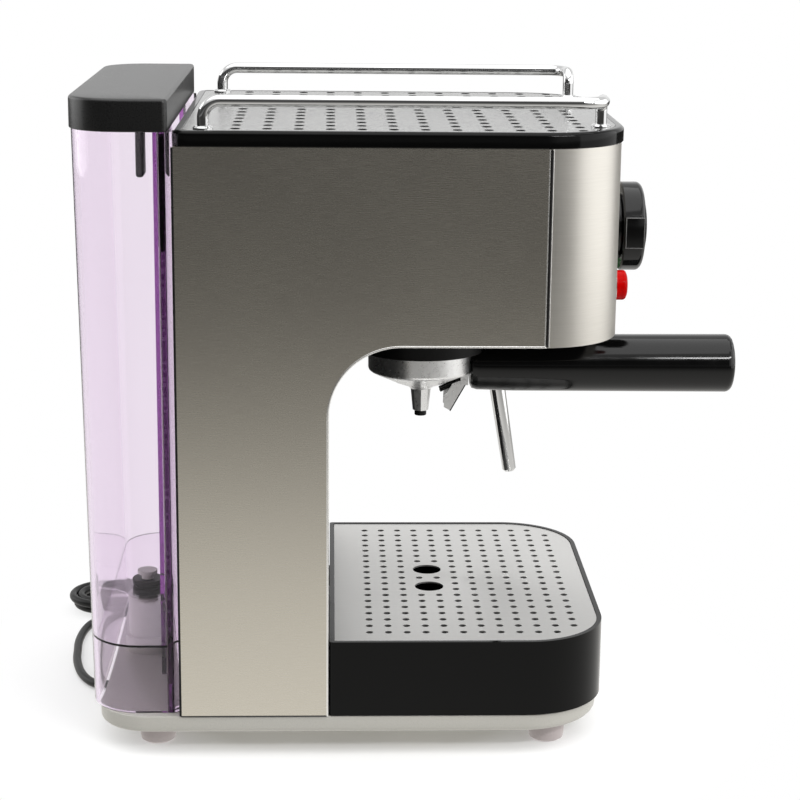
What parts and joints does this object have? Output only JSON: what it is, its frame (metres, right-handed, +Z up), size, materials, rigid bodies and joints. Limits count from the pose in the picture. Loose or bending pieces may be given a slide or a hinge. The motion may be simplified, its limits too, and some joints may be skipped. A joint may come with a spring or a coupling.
{
  "type": "espresso machine",
  "caption": "Pump espresso machine with an overhanging steel brew head, rear see-through water tank, sliding drip tray, portafilter and steam wand.",
  "frame": {"origin": "on the counter, midway between the four feet", "axes": "+Z up, -Y towards the front of the machine, +X to the right of someone who faces the front of the machine"},
  "size_m": [0.2746, 0.4111, 0.3641],
  "materials": {
    "brushed_steel": "brushed along the length",
    "polished_steel": "polished",
    "chrome": "polished",
    "cast_aluminium": "satin, machined ring",
    "boiler_aluminium": "cast",
    "gloss_black": "high gloss",
    "satin_black": "satin",
    "silver_plastic": "silver grey, satin",
    "foot_rubber": "light grey",
    "black_rubber": "matt",
    "purple_tank": "clear tinted plastic",
    "clear_hose": "translucent silicone",
    "red_button": "gloss",
    "green_lens": "gloss",
    "white_plastic": "matt",
    "galvanised": "zinc",
    "brass": "turned",
    "cord_pvc": "soft sheen"
  },
  "bodies": {
    "housing": {"base_plate": "silver_plastic", "feet": "foot_rubber", "inner_frame": "galvanised", "column_front": "satin_black", "head_underside": "satin_black", "side_panel_left": "brushed_steel", "side_panel_right": "brushed_steel", "front_panel": "brushed_steel", "rear_cover": "satin_black", "top_cap": "gloss_black", "cup_plate": "polished_steel", "rail_left": "chrome", "rail_right": "chrome", "rail_flanges": "chrome", "base_screws": "galvanised", "group_collar": "satin_black", "group_head": "boiler_aluminium", "group_gasket": "black_rubber", "shower_screen": "polished_steel", "screen_screw": "polished_steel", "boiler_top": "boiler_aluminium", "boiler_bolts": "galvanised", "heating_element": "galvanised", "thermostats": "white_plastic", "pump": "galvanised", "pump_mounts": "black_rubber", "suction_hose": "clear_hose", "pressure_hose": "clear_hose", "tank_seat": "silver_plastic", "steam_valve": "brass", "selector_switch": "white_plastic", "power_switch": "satin_black", "dial_boss": "gloss_black", "button_bezels": "chrome", "ready_lamp": "green_lens", "hose_clip": "satin_black", "return_hose": "clear_hose", "strain_relief": "cord_pvc", "cord": "cord_pvc", "cord_hank": "cord_pvc", "cord_lead": "cord_pvc", "cord_tie": "cord_pvc", "plug_body": "cord_pvc", "plug_pins": "chrome"},
    "portafilter": {"portafilter": "cast_aluminium", "filter_basket": "polished_steel", "coffee_spout": "cast_aluminium", "handle_grip": "gloss_black"},
    "clip": {"retainer_clip": "polished_steel"},
    "tray": {"drip_tray": "gloss_black"},
    "grille": {"drip_grille": "brushed_steel"},
    "tank": {"water_tank": "purple_tank", "tank_valve": "satin_black"},
    "plunger": {"valve_plunger": "white_plastic"},
    "lid": {"tank_lid": "satin_black"},
    "selector": {"selector_knob": "gloss_black"},
    "power": {"power_button": "red_button"},
    "steam_tap": {"steam_knob": "gloss_black"},
    "wand": {"steam_wand": "chrome", "wand_sleeve": "chrome"}
  },
  "joints": [
    {"name": "portafilter_turn", "type": "hinge", "parent": "housing", "child": "portafilter", "pos_m": [0, -0.04, 0.207], "axis": [0, 0, 1], "range_deg": [-45, 0]},
    {"name": "clip_flip", "type": "hinge", "parent": "portafilter", "child": "clip", "pos_m": [0, -0.0654, 0.1896], "axis": [1, 0, 0], "range_deg": [-30, 3]},
    {"name": "selector_turn", "type": "hinge", "parent": "housing", "child": "selector", "pos_m": [0, -0.1535, 0.2804], "axis": [0, -1, 0], "range_deg": [-45, 45]},
    {"name": "power_push", "type": "slide", "parent": "housing", "child": "power", "axis": [0, 1, 0], "range_m": [0, 0.003], "stiffness_N_per_m": 300},
    {"name": "steam_turn", "type": "hinge", "parent": "housing", "child": "steam_tap", "pos_m": [0.1115, -0.08, 0.262], "axis": [1, 0, 0], "range_deg": [0, 270]},
    {"name": "wand_swivel", "type": "hinge", "parent": "housing", "child": "wand", "pos_m": [0.09, -0.0805, 0.236], "axis": [0, 0, 1], "range_deg": [-20, 60]},
    {"name": "tray_slide", "type": "slide", "parent": "housing", "child": "tray", "axis": [0, -1, 0], "range_m": [0, 0.15]},
    {"name": "grille_lift", "type": "slide", "parent": "tray", "child": "grille", "axis": [0, 0, 1], "range_m": [0, 0.03]},
    {"name": "tank_lift", "type": "slide", "parent": "housing", "child": "tank", "axis": [0, 0, 1], "range_m": [0, 0.34]},
    {"name": "lid_lift", "type": "slide", "parent": "tank", "child": "lid", "axis": [0, 0, 1], "range_m": [0, 0.05]},
    {"name": "plunger_push", "type": "slide", "parent": "tank", "child": "plunger", "axis": [0, 0, 1], "range_m": [0, 0.003], "stiffness_N_per_m": 150}
  ]
}
